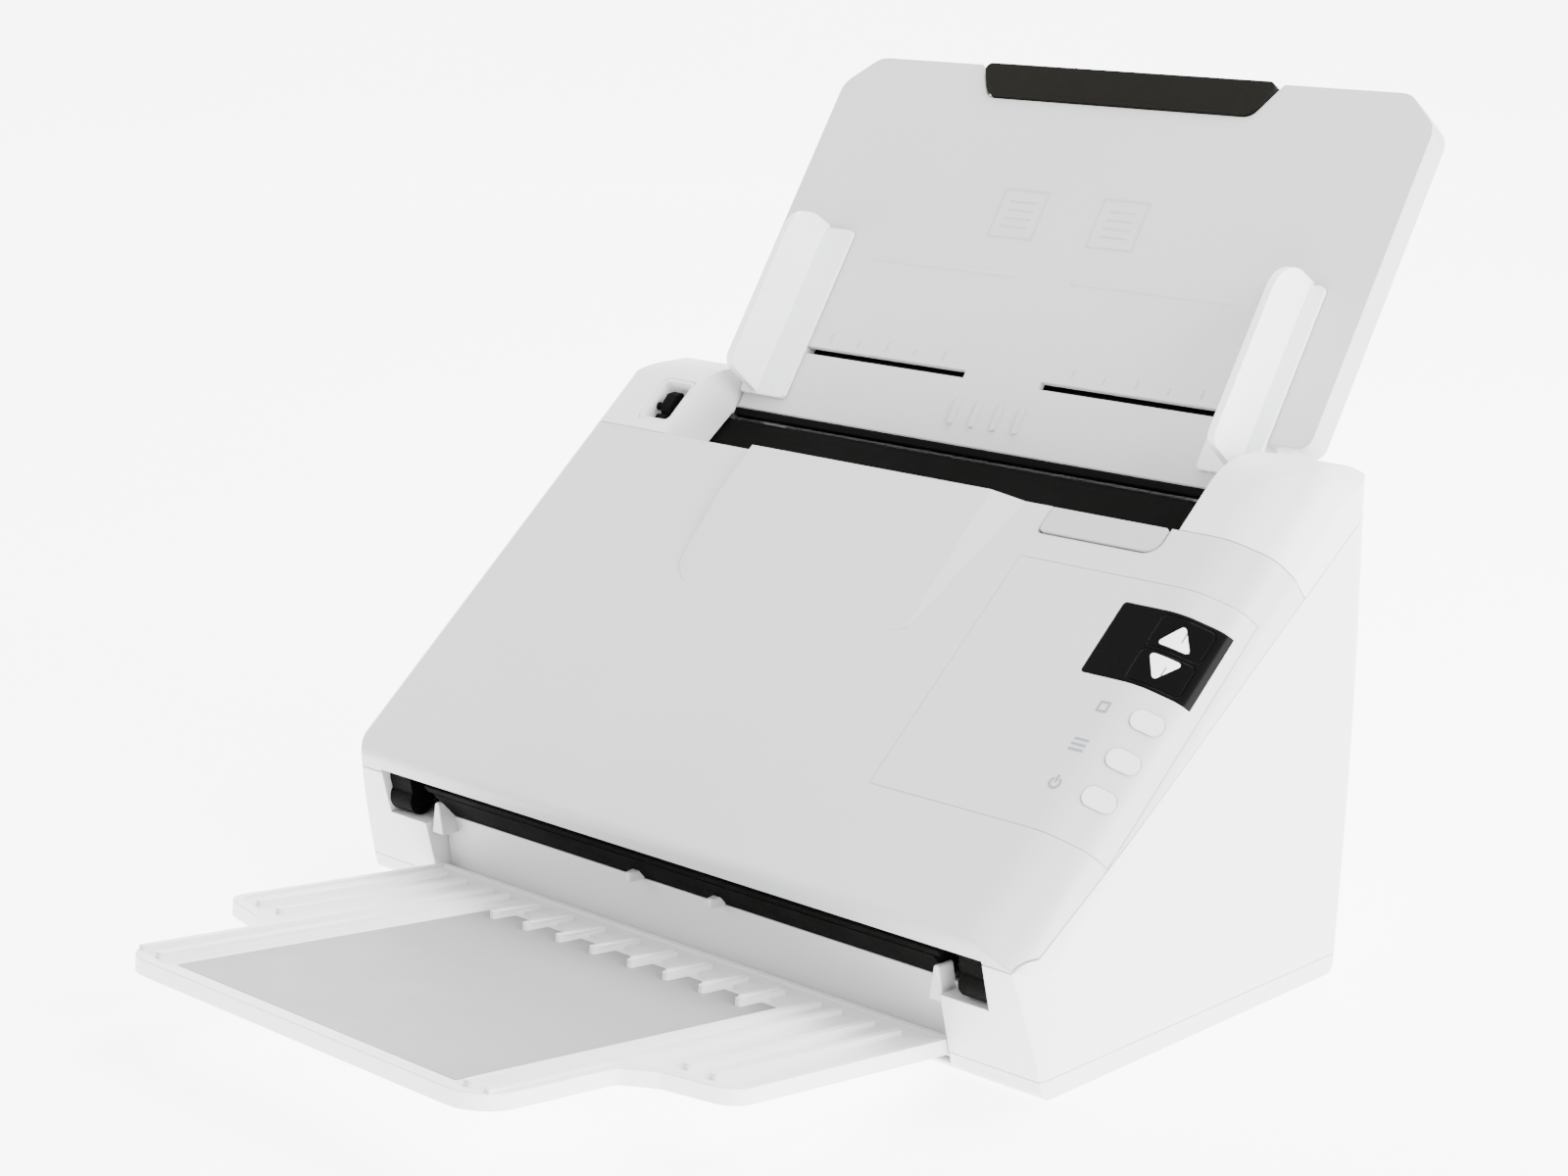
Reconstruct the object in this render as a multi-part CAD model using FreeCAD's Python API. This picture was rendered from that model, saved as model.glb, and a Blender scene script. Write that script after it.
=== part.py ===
"""Sheet-fed document scanner: housing, swinging front cover, paper path, input tray and output tray.

Units are millimetres.  X runs across the paper, Y runs from the output side to the back, Z is up.
"""
import FreeCAD, Part
import math
import os

os.makedirs("parts", exist_ok=True)
Vector = FreeCAD.Vector

# Driving dimensions of the housing
HALF_WIDTH = 158.0
WALL = 2.5
SEAM = 0.3
FINE_SEAM = 0.15              # round the control insert, its buttons and the base pan
FOOT_HEIGHT = 1.5
TOP_Z = 174.0
LIP = (-107.0, 50.7)          # the front edge where the sloping cover starts
SLOPE_DEG = 40.0
COVER_LENGTH = 160.85         # along the slope, from the lip to the feed opening
SIDE_SEAM_START = (-97.0, 46.5)
SIDE_SEAM_RISE = 0.684        # rise of the seam over the side panels, per mm of depth
HINGE = (-97.0, 34.0)         # axis of the front cover
SHOULDER_INNER = 119.5        # half width between the two shoulders
DEPTH_SHIFT = 55.257          # puts the middle of the whole footprint on the origin

# Paper path
PATH_START = (-100.0, 44.0)
PATH_DEG = 36.17
FRAME_HALF = 121.0            # outer face of the side plates
PLATE = 3.0
SHEET_GAP = 1.4               # between the lower bed and the frame in the cover

# Trays
TRAY_ROOT = (54.4, 159.5)
TRAY_DEG = 56.5
TRAY_HALF = 135.0
TRAY_NECK = 118.0
TRAY_LENGTH = 152.3
OUT_ROOT = (-90.4, 10.8)
OUT_DEG = 6.7
OUT_WING = 121.0
OUT_INNER = 86.5
OUT_LENGTH = 167.52
OUT_WING_LENGTH = 100.0
OUT_PIVOT = (-94.2, 8.4)

# Controls on the cover: the flat part ends at BEND and a narrow facet falls away to the right
BEND_X = 139.0
FACET_END = (154.5, -6.5)
FACET_DEG = math.degrees(math.atan2(-FACET_END[1], FACET_END[0] - BEND_X))
BUTTON_PLACES = (90.0, 74.7, 59.7)

# Gears
MODULE = 1.0


class Plane:
    """A plane that holds the X axis: a runs along it and n stands square to it."""

    def __init__(self, origin, along_deg, up_deg):
        self.origin = origin
        self.along = (math.cos(math.radians(along_deg)), math.sin(math.radians(along_deg)))
        self.up = (math.cos(math.radians(up_deg)), math.sin(math.radians(up_deg)))

    def yz(self, a, n):
        y = self.origin[0] + a * self.along[0] + n * self.up[0]
        z = self.origin[1] + a * self.along[1] + n * self.up[1]
        return y, z

    def at(self, x, a, n):
        y, z = self.yz(a, n)
        return Vector(x, y, z)


WORLD = Plane((0, 0), 0, 90)
SLOPE = Plane(LIP, SLOPE_DEG, SLOPE_DEG + 90)
PATH = Plane(PATH_START, PATH_DEG, PATH_DEG + 90)
TRAY = Plane(TRAY_ROOT, TRAY_DEG, TRAY_DEG + 90)
OUT = Plane(OUT_ROOT, 180 - OUT_DEG, 90 - OUT_DEG)


def face(corners, place):
    """A flat face from (u, v) or (u, v, radius) corners, each corner rounded by its radius."""
    flat = [Vector(c[0], c[1], 0) for c in corners]
    radii = [c[2] if len(c) > 2 else 0 for c in corners]
    bends = []
    for i, here in enumerate(flat):
        back = (flat[i - 1] - here).normalize()
        ahead = (flat[(i + 1) % len(flat)] - here).normalize()
        if radii[i] == 0:
            bends.append((here, None, here))
            continue
        half = math.acos(max(-1, min(1, back.dot(ahead)))) / 2
        run = radii[i] / math.tan(half)
        middle = (back + ahead).normalize()
        reach = radii[i] / math.sin(half) - radii[i]
        bends.append((here + back * run, here + middle * reach, here + ahead * run))
    edges = []
    for i, (start, crown, end) in enumerate(bends):
        if crown is not None:
            edges.append(Part.Arc(*[place(p.x, p.y) for p in (start, crown, end)]).toShape())
        following = bends[(i + 1) % len(bends)][0]
        if (following - end).Length > 1e-6:
            edges.append(Part.LineSegment(place(end.x, end.y), place(following.x, following.y)).toShape())
    return Part.Face(Part.Wire(edges))


def slab(plane, corners, low, high):
    """A plate: (x, a) corners, from n = low to n = high."""
    base = face(corners, lambda x, a: plane.at(x, a, low))
    return base.extrude(plane.at(0, 0, high) - plane.at(0, 0, low))


def beam(plane, corners, x_low, x_high):
    """A bar across the machine: (a, n) corners, from x_low to x_high."""
    base = face(corners, lambda a, n: plane.at(x_low, a, n))
    return base.extrude(Vector(x_high - x_low, 0, 0))


def rail(plane, corners, a_low, a_high):
    """A bar along the plane: (x, n) corners, from a_low to a_high."""
    base = face(corners, lambda x, n: plane.at(x, a_low, n))
    return base.extrude(plane.at(0, a_high, 0) - plane.at(0, a_low, 0))


def block(plane, x, a, n):
    """A rectangular block from (low, high) pairs."""
    return beam(plane, [(a[0], n[0]), (a[1], n[0]), (a[1], n[1]), (a[0], n[1])], x[0], x[1])


def rod(centre, radius, x_low, x_high):
    """A round bar along X about a (y, z) centre."""
    return Part.makeCylinder(radius, x_high - x_low, Vector(x_low, *centre), Vector(1, 0, 0))


def tube(centre, outer, inner, x_low, x_high):
    return rod(centre, outer, x_low, x_high).cut(rod(centre, inner, x_low, x_high))


def join(shapes):
    whole = shapes[0]
    if len(shapes) > 1:
        whole = shapes[0].multiFuse(list(shapes[1:]))
    return whole.removeSplitter()


def group(shapes):
    return Part.makeCompound(shapes)


def mirrored(shape):
    return shape.mirror(Vector(0, 0, 0), Vector(1, 0, 0))


def inset(corners, depth):
    """The same convex outline moved inwards by depth."""
    if depth == 0:
        return corners
    moved = []
    count = len(corners)
    area = sum(corners[i - 1][0] * corners[i][1] - corners[i][0] * corners[i - 1][1] for i in range(count))
    turn = 1 if area > 0 else -1
    for i, corner in enumerate(corners):
        before, after = corners[i - 1], corners[(i + 1) % count]
        d1 = Vector(corner[0] - before[0], corner[1] - before[1], 0).normalize()
        d2 = Vector(after[0] - corner[0], after[1] - corner[1], 0).normalize()
        n1 = Vector(-d1.y, d1.x, 0) * turn
        n2 = Vector(-d2.y, d2.x, 0) * turn
        spread = 1 + n1.dot(n2)
        shift = (n1 + n2) * (depth / spread)
        moved.append((corner[0] + shift.x, corner[1] + shift.y, max(corner[2] - depth, 0)))
    return moved


def housing_block(depth):
    """The closed outer form of the housing, moved inwards by depth."""
    back_lean = (69.0 - 57.2) / 157.0
    rise = (TOP_Z - LIP[1]) / math.tan(math.radians(SLOPE_DEG))
    profile = [
        (-95.4, FOOT_HEIGHT, 3.5),
        (LIP[0], LIP[1], 4.5),
        (LIP[0] + rise, TOP_Z, 30.0),
        (57.2 + TOP_Z * back_lean, TOP_Z, 12.0),
        (57.2, FOOT_HEIGHT, 3.5),
    ]
    plan = [
        (-HALF_WIDTH, LIP[0] - 5, 21.0),
        (HALF_WIDTH, LIP[0] - 5, 21.0),
        (HALF_WIDTH, 72.0, 12.0),
        (-HALF_WIDTH, 72.0, 12.0),
    ]
    slope_section = [
        (-HALF_WIDTH, -260.0, 0),
        (HALF_WIDTH, -260.0, 0),
        (HALF_WIDTH, -15.0, 9.0),
        (FACET_END[0], FACET_END[1], 12.0),
        (BEND_X, 0, 30.0),
        (-HALF_WIDTH, 0, 5.0),
    ]
    top_section = [
        (-HALF_WIDTH, -20.0, 0),
        (HALF_WIDTH, -20.0, 0),
        (HALF_WIDTH, TOP_Z, 9.0),
        (-HALF_WIDTH, TOP_Z, 9.0),
    ]
    form = beam(WORLD, inset(profile, depth), -HALF_WIDTH - 5, HALF_WIDTH + 5)
    form = form.common(slab(WORLD, inset(plan, depth), -10, 200))
    form = form.common(rail(SLOPE, inset(slope_section, depth), -120, 330))
    return form.common(rail(WORLD, inset(top_section, depth), -130, 100))


def seam_z(y):
    return SIDE_SEAM_START[1] + (y - SIDE_SEAM_START[0]) * SIDE_SEAM_RISE


OUTER = housing_block(0)
INNER = housing_block(WALL)
SHELL = OUTER.cut(INNER)
PART_LINE_END = 24.9          # how far the rear edge of the cover reaches down, square to the slope
SIDE_SEAM_END_Y = 63.5
LOWER_TOP_Z = seam_z(SIDE_SEAM_END_Y)
PAN_TOP = 8.0
POST_TOP = 28.2
POST_INNER = 121.6
PILLAR_INNER = 141.2
EXIT_WALL_TOP = 30.0


def cover_zone():
    """The space above the side seam and in front of the feed opening."""
    rear_top = SLOPE.yz(COVER_LENGTH - SEAM / 2, 20)
    rear_low = SLOPE.yz(COVER_LENGTH - SEAM / 2, -PART_LINE_END)
    start_y = SIDE_SEAM_START[0]
    corners = [
        (-125, 42), (start_y, 42), (start_y, seam_z(start_y) + SEAM / 2),
        rear_low, rear_top, (-125, 190),
    ]
    zone = beam(WORLD, corners, -170, 170)
    for x_low, x_high in ((-170, -PILLAR_INNER), (PILLAR_INNER, 170)):
        zone = zone.cut(rod(HINGE, 13.2, x_low, x_high))
    mouth = block(WORLD, (-PILLAR_INNER, PILLAR_INNER), (-126, -90), (30, 45))
    return zone.cut(mouth)


def upper_rear_zone():
    """The space above the side seam and behind the cover."""
    top = SLOPE.yz(COVER_LENGTH + SEAM / 2, 30)
    low = SLOPE.yz(COVER_LENGTH + SEAM / 2, -PART_LINE_END)
    corners = [
        low, (SIDE_SEAM_END_Y, LOWER_TOP_Z + SEAM / 2), (90, LOWER_TOP_Z + SEAM / 2), (90, 200),
        (top[0], 200), top,
    ]
    return beam(WORLD, corners, -170, 170)


def lower_side_zone():
    """The space below the side seam, with the round pillar top about the cover's hinge."""
    start_y = SIDE_SEAM_START[0]
    corners = [
        (-125, PAN_TOP + FINE_SEAM), (-125, 42), (start_y, 42), (start_y, seam_z(start_y) - SEAM / 2),
        (SIDE_SEAM_END_Y, LOWER_TOP_Z - SEAM / 2), (90, LOWER_TOP_Z - SEAM / 2), (90, PAN_TOP + FINE_SEAM),
    ]
    return beam(WORLD, corners, -170, 170).fuse(rod(HINGE, 12.7, -170, 170))


# Region of the cover that the control insert fills, and the black display panel in it
INSERT_X = (67.3, 170.0)
INSERT_A = (42.5, 139.0)
INSERT_DEPTH = -13.0
DISPLAY_X = (116.5, 156.2)
DISPLAY_A = (100.7, 129.6)
KEY_X = (133.0, 151.5)
UP_KEY_A = (116.0, 128.2)
DOWN_KEY_A = (102.2, 114.4)
PAD_X = (68.0, 116.0)
PAD_A = (150.0, COVER_LENGTH - 0.6)


def grown(pair, by):
    return pair[0] - by, pair[1] + by


def soft_slab(plane, x, a, low, high, radius):
    """A plate with rounded plan corners."""
    corners = [(x[0], a[0], radius), (x[1], a[0], radius), (x[1], a[1], radius), (x[0], a[1], radius)]
    return slab(plane, corners, low, high)


def raised_panel():
    """The raised middle panel: flush with the slope below, 3.3 mm proud of it at the feed opening."""
    high, low_a, top_a = 3.3, 99.0, COVER_LENGTH - SEAM / 2
    plan = [(-74, top_a), (-69, low_a, 14), (48, low_a, 20), (62, top_a)]
    body = slab(SLOPE, plan, -1.0, 6.0)
    side = [(low_a - 20, -2), (top_a, -2), (top_a, high), (low_a, 0), (low_a - 20, 0)]
    wedge = beam(SLOPE, side, -90, 90)
    left = rail(SLOPE, [(-75, -2), (-75, -0.4), (-70.5, high + 0.4), (90, high + 0.4), (90, -2)], 60, 170)
    lower_section = ((-90, -2), (50, -2), (34, 2), (-90, 2), (-90, -2))
    upper_section = ((-90, -2), (64, -2), (42, high), (-90, high), (-90, -2))
    ramp = Part.makeLoft([
        Part.makePolygon([SLOPE.at(x, low_a, n) for x, n in lower_section]),
        Part.makePolygon([SLOPE.at(x, top_a, n) for x, n in upper_section]),
    ], True, True)
    return body.common(wedge).common(left).common(ramp)


def button_axis(a):
    """The centre and outward direction of a round-ended button on the falling facet."""
    tilt = math.radians(FACET_DEG)
    along = 9.5
    centre = SLOPE.at(BEND_X + along * math.cos(tilt), a, -along * math.sin(tilt))
    outward = SLOPE.at(math.sin(tilt), 0, math.cos(tilt)) - SLOPE.at(0, 0, 0)
    across = SLOPE.at(math.cos(tilt), 0, -math.sin(tilt)) - SLOPE.at(0, 0, 0)
    return centre, outward, across


def button_form(a, grow, low, high):
    """A button's body: a rounded bar, wider across than along the slope."""
    centre, outward, across = button_axis(a)
    along = SLOPE.at(0, 1, 0) - SLOPE.at(0, 0, 0)
    half_x, half_a = 5.5 + grow, 3.6 + grow
    corners = [(-half_x, -half_a, half_a - 0.4), (half_x, -half_a, half_a - 0.4),
               (half_x, half_a, half_a - 0.4), (-half_x, half_a, half_a - 0.4)]
    base = face(corners, lambda u, v: centre + across * u + along * v + outward * low)
    return base.extrude(outward * (high - low))


def front_cover():
    skin = join([SHELL.common(cover_zone()), raised_panel()])
    insert_depth = (INSERT_DEPTH - FINE_SEAM, 8)
    skin = skin.cut(block(SLOPE, grown(INSERT_X, FINE_SEAM), grown(INSERT_A, FINE_SEAM), insert_depth))
    pad_zone = slab(SLOPE, [
        (PAD_X[0] - 0.6, PAD_A[0] - 0.8, 2), (PAD_X[1] + 0.8, PAD_A[0] - 0.8, 6),
        (PAD_X[1] + 0.8, 175), (PAD_X[0] - 0.6, 175)], -4, 4)
    return skin.cut(pad_zone)


def control_insert():
    skin = SHELL.common(cover_zone()).common(block(SLOPE, INSERT_X, INSERT_A, (INSERT_DEPTH, 8)))
    skin = skin.cut(soft_slab(SLOPE, grown(DISPLAY_X, 0.15), grown(DISPLAY_A, 0.15), -9, 8, 1.5))
    for a in BUTTON_PLACES:
        skin = skin.cut(button_form(a, FINE_SEAM, -6, 6))
    return skin


def display_panel():
    skin = SHELL.common(soft_slab(SLOPE, DISPLAY_X, DISPLAY_A, -9, 8, 1.3))
    for key in (UP_KEY_A, DOWN_KEY_A):
        skin = skin.cut(soft_slab(SLOPE, grown(KEY_X, 0.25), grown(key, 0.25), -12, 8, 2.2))
    return skin


def key(a_range):
    """A black key: the panel's own skin on a short stem."""
    cap = SHELL.common(soft_slab(SLOPE, KEY_X, a_range, -12, 8, 2.0))
    stem = block(SLOPE, (140, 144), (sum(a_range) / 2 - 2, sum(a_range) / 2 + 2), (-9.5, -1.8))
    return join([cap, stem])


def function_button(a):
    centre, outward, _ = button_axis(a)
    stem = Part.makeCylinder(1.6, 4.5, centre - outward * 7.0, outward)
    return join([button_form(a, 0, -2.8, 0.45), stem])


def release_button():
    cap = slab(SLOPE, [(PAD_X[0], PAD_A[0], 2), (PAD_X[1], PAD_A[0], 5), (PAD_X[1], PAD_A[1], 1),
                       (PAD_X[0], PAD_A[1], 1)], -2.4, 0.5)
    return cap


def cover_frame():
    """The frame under the cover's skin: the upper side of the paper path and the two hinge arms."""
    front_p, rear_p = 4.0, 158.0
    bed = block(PATH, (-117, 117), (front_p, rear_p), (SHEET_GAP, SHEET_GAP + PLATE))
    ribs = []
    for x_low in (-117, 113.5):
        section = [(front_p, SHEET_GAP), (rear_p, SHEET_GAP), (rear_p, 30), (front_p, 30)]
        rib = beam(PATH, section, x_low, x_low + 3.5)
        ribs.append(rib)
    for x_low in (-30.0, 26.5):
        section = [(136, SHEET_GAP), (rear_p, SHEET_GAP), (rear_p, 30), (136, 30)]
        ribs.append(beam(PATH, section, x_low, x_low + 3.5))
    cross = beam(WORLD, [(-99, 49.6), (-99, 53.6), (-94, 58.0), (-94, 51.6)], -140.7, 140.7)
    arms = []
    for x_low in (-140.7, 129.3):
        section = [(-101.8, 35), (-102.2, 50), (-95, 56), (-92, 52.4), (-92, 35)]
        arm = beam(WORLD, section, x_low, x_low + 11.4)
        arms.append(arm.fuse(rod(HINGE, 5.2, x_low, x_low + 11.4)))
    frame = join([bed] + ribs + [cross] + arms)
    inside = housing_block(WALL + 0.25)
    frame = frame.common(inside.fuse(rod(HINGE, 5.3, -142, 142)))
    rear_limit = block(SLOPE, (-150, 150), (-40, COVER_LENGTH - 1.2), (-90, 20))
    frame = frame.common(rear_limit)
    frame = frame.cut(block(PATH, grown(SENSOR_X, 0.3), grown(SENSOR_P, 0.3), (0, 30)))
    frame = frame.cut(block(SLOPE, (PAD_X[0] - 1, PAD_X[1] + 1), (PAD_A[0] - 1, 175), (-5.5, 4)))
    for name, x_spans in PINCH_SPANS.items():
        centre, radius = PINCH[name]
        for x_low, x_high in x_spans:
            frame = frame.cut(rod(centre, radius + 0.6, x_low - 0.8, x_high + 0.8))
        frame = frame.cut(rod(centre, PINCH_SHAFT + 0.05, -118, 118))
        frame = frame.cut(block(PATH, PINCH_SLOT[name], *shaft_slot(centre)))
    return frame.cut(rod(HINGE, 2.55, -142, 142))


def shaft_slot(centre):
    """The space between the ribs that a pinch roller's shaft runs through."""
    dy, dz = centre[0] - PATH.origin[0], centre[1] - PATH.origin[1]
    a = dy * PATH.along[0] + dz * PATH.along[1]
    n = dy * PATH.up[0] + dz * PATH.up[1]
    return (a - PINCH_SHAFT - 0.4, a + PINCH_SHAFT + 0.4), (n - PINCH_SHAFT - 0.4, n + PINCH_SHAFT + 0.4)


def on_path(contact, radius, gap):
    """Centre of a roller that stands on the upper side of the path opposite a lower roller."""
    return PATH.yz(contact, radius + gap)


# Rollers: contact point along the path and radius
FEED_P, FEED_R = 148.6, 16.0
DRIVE_P, DRIVE_R = 80.5, 10.0
EXIT_P, EXIT_R = 18.6, 8.0
FEED_C = PATH.yz(FEED_P, -FEED_R)
DRIVE_C = PATH.yz(DRIVE_P, -DRIVE_R)
EXIT_C = PATH.yz(EXIT_P, -EXIT_R)
PINCH_SHAFT = 1.6
PINCH = {
    "separation": (on_path(FEED_P, 7.0, SHEET_GAP / 4), 7.0),
    "drive": (on_path(DRIVE_P, 5.0, SHEET_GAP / 4), 5.0),
    "exit": (on_path(EXIT_P, 3.3, SHEET_GAP / 4), 3.3),
}
FOUR_TYRES = ((-98, -80), (-45, -27), (27, 45), (80, 98))
PINCH_SPANS = {"separation": ((-22, 22),), "drive": FOUR_TYRES, "exit": FOUR_TYRES}
PINCH_SLOT = {"separation": (-26.3, 26.3), "drive": (-113.3, 113.3), "exit": (-113.3, 113.3)}
PINCH_REACH = {"separation": 29.5, "drive": 116.5, "exit": 116.5}
SENSOR_X = (-111.0, 111.0)
SENSOR_P = (104.0, 121.0)


def pinch_roller(name):
    centre, radius = PINCH[name]
    reach = PINCH_REACH[name]
    tyres = [rod(centre, radius, low, high) for low, high in PINCH_SPANS[name]]
    return join([rod(centre, PINCH_SHAFT, -reach, reach)] + tyres)


def lower_frame():
    """Bed under the sheet and two side plates that carry the shafts."""
    bed = block(PATH, (-FRAME_HALF, FRAME_HALF), (-3.0, 188.0), (-PLATE, 0))
    plates = []
    for x_low in (-FRAME_HALF, FRAME_HALF - PLATE):
        corners = [(-97, 44.2), (49.5, 151.5), (49.5, 4.2), (-80, 4.2), (-84, 34)]
        plates.append(beam(WORLD, corners, x_low, x_low + PLATE))
    tabs = []
    for x, y in SCREW_PLACES:
        side = 1 if x > 0 else -1
        x_range = sorted((side * (FRAME_HALF - PLATE), x - side * 7))
        tabs.append(block(WORLD, x_range, (y - 7, y + 7), (4.2, 7.4)))
    frame = join([bed] + plates + tabs)
    frame = frame.cut(block(PATH, grown(SENSOR_X, 0.3), grown(SENSOR_P, 0.3), (-PLATE - 1, 1)))
    frame = frame.cut(rod(FEED_C, FEED_R + 0.7, -25.5, 25.5))
    for centre, radius in ((DRIVE_C, DRIVE_R), (EXIT_C, EXIT_R)):
        for low, high in FOUR_TYRES:
            frame = frame.cut(rod(centre, radius + 0.6, low - 0.8, high + 0.8))
    for centre in (FEED_C, DRIVE_C, EXIT_C):
        frame = frame.cut(rod(centre, BUSH_R + 0.02, -130, 130))
    for centre in (IDLER_1_C, IDLER_2_C):
        frame = frame.cut(rod(centre, IDLER_PIN_R + 0.02, -130, -110))
    frame = frame.cut(rod(MOTOR_C, 3.0, -130, -110))
    for x, y in SCREW_PLACES:
        frame = frame.cut(Part.makeCylinder(1.55, 10, Vector(x, y, 2)))
    return frame


def meeting_point(first, reach_1, second, reach_2, side):
    """The point at reach_1 from first and reach_2 from second, on the given side of their line."""
    dy, dz = second[0] - first[0], second[1] - first[1]
    span = math.hypot(dy, dz)
    run = (reach_1 ** 2 - reach_2 ** 2 + span ** 2) / (2 * span)
    rise = math.sqrt(reach_1 ** 2 - run ** 2) * side
    return first[0] + (dy * run - dz * rise) / span, first[1] + (dz * run + dy * rise) / span


SHAFT_R = 3.0
BUSH_R = 5.5
IDLER_PIN_R = 2.5
TEETH = {"feed": 30, "idler_1": 40, "drive": 30, "idler_2": 36, "exit": 24, "pinion": 14}
GEAR_X = (-127.2, -122.2)
PINION_DIRECTION_DEG = -72.0


def pitch_radius(name):
    return TEETH[name] * MODULE / 2


def centres_apart(first, second):
    return pitch_radius(first) + pitch_radius(second)


IDLER_1_C = meeting_point(
    FEED_C, centres_apart("feed", "idler_1"), DRIVE_C, centres_apart("drive", "idler_1"), 1)
IDLER_2_C = meeting_point(
    DRIVE_C, centres_apart("drive", "idler_2"), EXIT_C, centres_apart("exit", "idler_2"), 1)
MOTOR_C = (
    IDLER_1_C[0] + centres_apart("pinion", "idler_1") * math.cos(math.radians(PINION_DIRECTION_DEG)),
    IDLER_1_C[1] + centres_apart("pinion", "idler_1") * math.sin(math.radians(PINION_DIRECTION_DEG)),
)
GEAR_CENTRES = {
    "feed": FEED_C, "idler_1": IDLER_1_C, "drive": DRIVE_C,
    "idler_2": IDLER_2_C, "exit": EXIT_C, "pinion": MOTOR_C,
}


def tooth_outline(teeth):
    """Corner points (radius, share of a pitch) of one straight-sided tooth."""
    pitch = MODULE * teeth / 2
    return ((pitch - 1.15, -0.24), (pitch + 0.85, -0.10), (pitch + 0.85, 0.10), (pitch - 1.15, 0.24))


def spur_gear(centre, teeth, first_deg, x_low, x_high, bore):
    points = []
    for tooth in range(teeth):
        for radius, share in tooth_outline(teeth):
            angle = math.radians(first_deg + (tooth + share) * 360.0 / teeth)
            points.append((centre[0] + radius * math.cos(angle), centre[1] + radius * math.sin(angle)))
    return beam(WORLD, points, x_low, x_high).cut(rod(centre, bore, x_low - 1, x_high + 1))


def meshed_phase(first, first_deg, second):
    """Angle of a tooth on the second gear so that it sits in a gap of the first."""
    a, b = GEAR_CENTRES[first], GEAR_CENTRES[second]
    toward = math.degrees(math.atan2(b[1] - a[1], b[0] - a[0]))
    share = (toward - first_deg) * TEETH[first] / 360.0
    return toward + 180.0 - (0.5 - share) * 360.0 / TEETH[second]


def gear_phases():
    phases = {"feed": 0.0}
    for first, second in (("feed", "idler_1"), ("idler_1", "drive"), ("drive", "idler_2"),
                          ("idler_2", "exit"), ("idler_1", "pinion")):
        phases[second] = meshed_phase(first, phases[first], second)
    return phases


GEAR_BORES = {
    "feed": SHAFT_R + 0.02, "idler_1": IDLER_PIN_R + 0.05, "drive": SHAFT_R + 0.02,
    "idler_2": IDLER_PIN_R + 0.05, "exit": SHAFT_R + 0.02, "pinion": 1.52,
}


# Fixed pieces of the housing
SCREW_PLACES = ((-104.0, -60.0), (104.0, -60.0), (-104.0, 35.0), (104.0, 35.0))
FOOT_PLACES = ((-135.0, -75.0), (135.0, -75.0), (-135.0, 40.0), (135.0, 40.0))
USB_X, USB_Z = (-22.0, -10.0), (24.0, 35.0)
JACK_CENTRE, JACK_HALF = (16.0, 29.0), 5.5
BOARD_Y = (44.0, 45.6)


def base_pan():
    pan = SHELL.common(block(WORLD, (-170, 170), (-130, 90), (0, PAN_TOP)))
    pan = pan.cut(block(WORLD, (-POST_INNER, POST_INNER), (-110, -84.5), (4.05, 20)))
    pan = pan.cut(rod(OUT_PIVOT, 1.66, -127, 127))
    for x, y in SCREW_PLACES:
        pan = pan.cut(Part.makeCylinder(1.7, 6, Vector(x, y, 0)))
        pan = pan.cut(Part.makeCylinder(3.2, 1.8, Vector(x, y, 1)))
    for x, y in FOOT_PLACES:
        pan = pan.cut(Part.makeCylinder(3.05, 6, Vector(x, y, 0)))
    return pan


def side_cover(side):
    zone = lower_side_zone()
    x_range = (POST_INNER, 170) if side > 0 else (-170, -POST_INNER)
    half = block(WORLD, x_range, (-130, 90), (0, 200))
    skin = SHELL.common(zone).common(half)
    skin = skin.cut(block(WORLD, (-149.7 - SEAM / 2, 149.7 + SEAM / 2), (0, 90), (0, 200)))
    mouth = block(WORLD, (-PILLAR_INNER, PILLAR_INNER), (-120, -60), (POST_TOP, 70))
    skin = skin.cut(mouth)
    pillar_x = (PILLAR_INNER, 156) if side > 0 else (-156, -PILLAR_INNER)
    post_x = (POST_INNER, 143) if side > 0 else (-143, -POST_INNER)
    pillar = OUTER.common(zone).common(block(WORLD, pillar_x, (-120, -88), (0, 60)))
    post = OUTER.common(zone).common(block(WORLD, post_x, (-120, -88), (0, POST_TOP)))
    cover = join([skin, pillar, post])
    cover = cover.cut(rod(HINGE, 2.52, -149, 149))
    return cover.cut(rod(OUT_PIVOT, 1.66, -127, 127))


def rear_cover():
    half = 149.7 - SEAM / 2
    zone = block(WORLD, (-half, half), (30, 90), (PAN_TOP + FINE_SEAM, LOWER_TOP_Z - SEAM / 2))
    wall = SHELL.common(zone)
    wall = wall.cut(block(TRAY, (-122.3, 122.3), (-3.6, 60), (-80, 40)))
    wall = wall.cut(block(WORLD, grown(USB_X, 0.3), (50, 70), grown(USB_Z, 0.3)))
    jack_start = Vector(JACK_CENTRE[0], 45, JACK_CENTRE[1])
    jack = Part.makeCylinder(JACK_HALF + 0.3, 30, jack_start, Vector(0, 1, 0))
    wall = wall.cut(jack)
    for i in range(9):
        x = 55 + 7.0 * i
        wall = wall.cut(block(WORLD, (x, x + 2.6), (50, 75), (40, 78)))
    return wall


TOP_WALL = 2.5
FOOT_TAB_X = (95.0, 107.0)
POCKET_X = (-139.0, -121.5)
POCKET_Y = (22.0, 46.0)


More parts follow.
